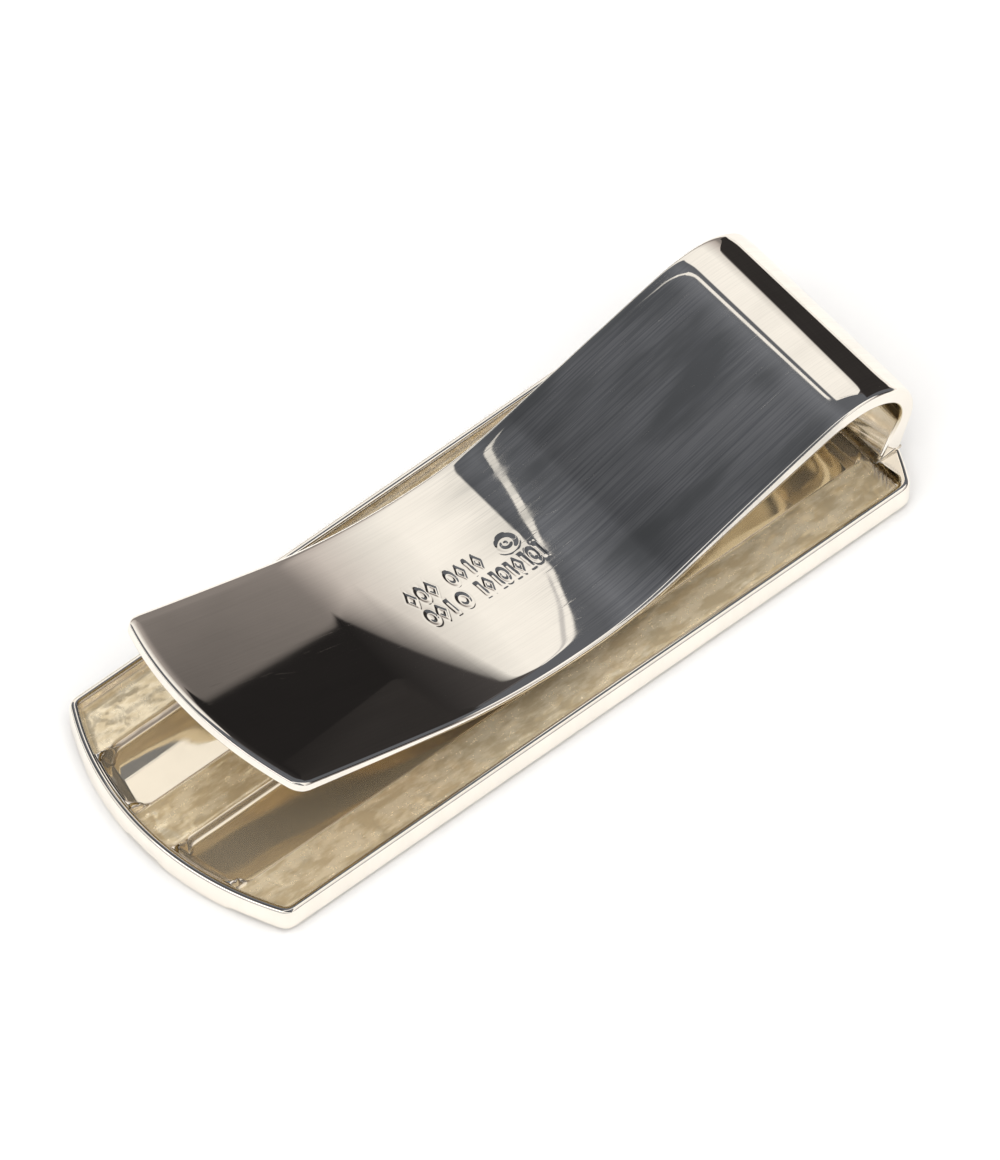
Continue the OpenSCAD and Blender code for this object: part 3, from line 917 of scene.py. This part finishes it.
def make_flag():
    """A soft-edged dark flag beyond the fold, which only the silver mirrors."""
    count = 60
    across, up = np.meshgrid(np.linspace(8.0, 44.0, count), np.linspace(FLAG_LOW, 80.0, count))
    top = np.interp(across, *np.array(FLAG_EDGE).T)
    cover = smooth(top - up, -1.0, FLAG_SOFT * (0.5 + across / 60.0)) * smooth(across, 8.0, 14.0)
    points = np.stack([np.full_like(up, FLAG_X), across, up], axis=-1).reshape(-1, 3) * MM
    grid = np.arange(count * count).reshape(count, count)
    faces = np.stack([grid[:-1, :-1], grid[:-1, 1:], grid[1:, 1:], grid[1:, :-1]], axis=-1).reshape(-1, 4)
    mesh = bpy.data.meshes.new("dark_flag")
    mesh.from_pydata(points.tolist(), [], faces.tolist())
    mesh.attributes.new("cover", "FLOAT", "POINT").data.foreach_set("value", cover.ravel().astype(np.float32))
    material = bpy.data.materials.new("dark_cloth")
    material.use_nodes = True
    bench = NodeBench(material.node_tree)
    out = bench.add("ShaderNodeOutputMaterial")
    weave = bench.noise(bench.add("ShaderNodeTexCoord").outputs["Object"], 300.0, 2.0)
    cloth = bench.add("ShaderNodeEmission")
    bench.put(cloth.inputs["Color"], bench.mix(weave, (0.028, 0.026, 0.026, 1), (0.036, 0.033, 0.033, 1)))
    mix = bench.add("ShaderNodeMixShader")
    bench.put(mix.inputs[0], bench.add("ShaderNodeAttribute", attribute_name="cover").outputs["Fac"])
    bench.put(mix.inputs[1], bench.add("ShaderNodeBsdfTransparent").outputs[0])
    bench.put(mix.inputs[2], cloth.outputs[0])
    bench.put(out.inputs["Surface"], mix.outputs[0])
    mesh.materials.append(material)
    flag = bpy.data.objects.new("dark_flag", mesh)
    flag.visible_camera = flag.visible_diffuse = flag.visible_shadow = False
    bpy.context.scene.collection.objects.link(flag)
    return flag


def make_fill(stage):
    """A broad soft light from above that brightens the paper; the silver doesn't mirror it."""
    light = bpy.data.lights.new("overhead_fill", "SUN")
    light.energy = stage.fill_strength
    light.angle = math.radians(70)
    light.color = (1.0, 0.99, 0.975)
    lamp = bpy.data.objects.new("overhead_fill", light)
    lamp.rotation_euler = (math.radians(8), math.radians(-6), 0)
    lamp.visible_glossy = False
    bpy.context.scene.collection.objects.link(lamp)


def make_camera(stage):
    az, el = stage.camera_azimuth, stage.camera_elevation
    look = np.array([-math.sin(az) * math.cos(el), math.cos(az) * math.cos(el), -math.sin(el)])
    aim = np.array([0.001875, 0.001411, 0.0])
    eye = aim - look * stage.camera_distance
    data = bpy.data.cameras.new("camera")
    data.sensor_width = 36.0
    data.lens = 910.9862
    data.clip_start, data.clip_end = 0.05, 20.0
    camera = bpy.data.objects.new("camera", data)
    camera.location = eye
    camera.rotation_euler = (math.pi / 2 - el, 0.0, az)
    bpy.context.scene.collection.objects.link(camera)
    bpy.context.scene.camera = camera


# ---------------------------------------------------------------- operators

def settings(context):
    scene = context.scene
    return scene.clip_sizes, scene.clip_finish, scene.clip_stage


class CLIP_OT_face_plate(Operator):
    """Build the tray-backed face plate in place of its plain solid"""
    bl_idname = "clip.face_plate"
    bl_label = "Face plate"

    def execute(self, context):
        sizes, finish, _ = settings(context)
        plate = build_face_plate(sizes)
        plate.data.materials.append(make_plate_silver(finish))
        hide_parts("face_plate")
        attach(plate, "plate")
        return {"FINISHED"}


class CLIP_OT_spring_strip(Operator):
    """Build the bent spring strip, from its foot on the plate round the fold to the leaf"""
    bl_idname = "clip.spring_strip"
    bl_label = "Spring strip"

    def execute(self, context):
        sizes, finish, _ = settings(context)
        strip = build_spring_strip(sizes)
        strip.data.materials.append(make_spring_silver(finish))
        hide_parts("spring_foot", "spring_bend", "spring_tongue")
        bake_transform(strip)
        return {"FINISHED"}


class CLIP_OT_solder_seam(Operator):
    """Build the run of solder that joins the strip's foot to the plate"""
    bl_idname = "clip.solder_seam"
    bl_label = "Solder seam"

    def execute(self, context):
        sizes, finish, _ = settings(context)
        seam = build_solder_seam(sizes)
        seam.data.materials.append(make_solder_silver(finish))
        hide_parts("solder_seam")
        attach(seam, "plate")
        return {"FINISHED"}


class CLIP_OT_stage(Operator):
    """Set out the floor, the light and the camera"""
    bl_idname = "clip.stage"
    bl_label = "Stage"

    def execute(self, context):
        _, _, stage = settings(context)
        make_floor(stage)
        make_flag()
        make_studio_light()
        make_fill(stage)
        make_camera(stage)
        view = context.scene.view_settings
        view.view_transform, view.look = "Standard", "None"
        return {"FINISHED"}


class CLIP_PT_build(Panel):
    """Steps that build the clip"""
    bl_idname = "CLIP_PT_build"
    bl_label = "Money clip"
    bl_space_type = "VIEW_3D"
    bl_region_type = "UI"
    bl_category = "Money Clip"

    def draw(self, context):
        for group in settings(context):
            box = self.layout.box()
            for prop in group.bl_rna.properties:
                if prop.identifier not in {"rna_type", "name"}:
                    box.prop(group, prop.identifier)
        for step in BUILD_STEPS:
            self.layout.operator(step.bl_idname)


BUILD_STEPS = (CLIP_OT_face_plate, CLIP_OT_spring_strip, CLIP_OT_solder_seam, CLIP_OT_stage)
CLASSES = (ClipSizes, ClipFinish, ClipStage, *BUILD_STEPS, CLIP_PT_build)


def register():
    for cls in CLASSES:
        bpy.utils.register_class(cls)
    bpy.types.Scene.clip_sizes = PointerProperty(type=ClipSizes)
    bpy.types.Scene.clip_finish = PointerProperty(type=ClipFinish)
    bpy.types.Scene.clip_stage = PointerProperty(type=ClipStage)


def unregister():
    del bpy.types.Scene.clip_stage, bpy.types.Scene.clip_finish, bpy.types.Scene.clip_sizes
    for cls in reversed(CLASSES):
        bpy.utils.unregister_class(cls)


def main():
    register()
    bpy.ops.clip.face_plate()
    bpy.ops.clip.spring_strip()
    bpy.ops.clip.solder_seam()
    bpy.ops.clip.stage()


if __name__ == "__main__":
    main()
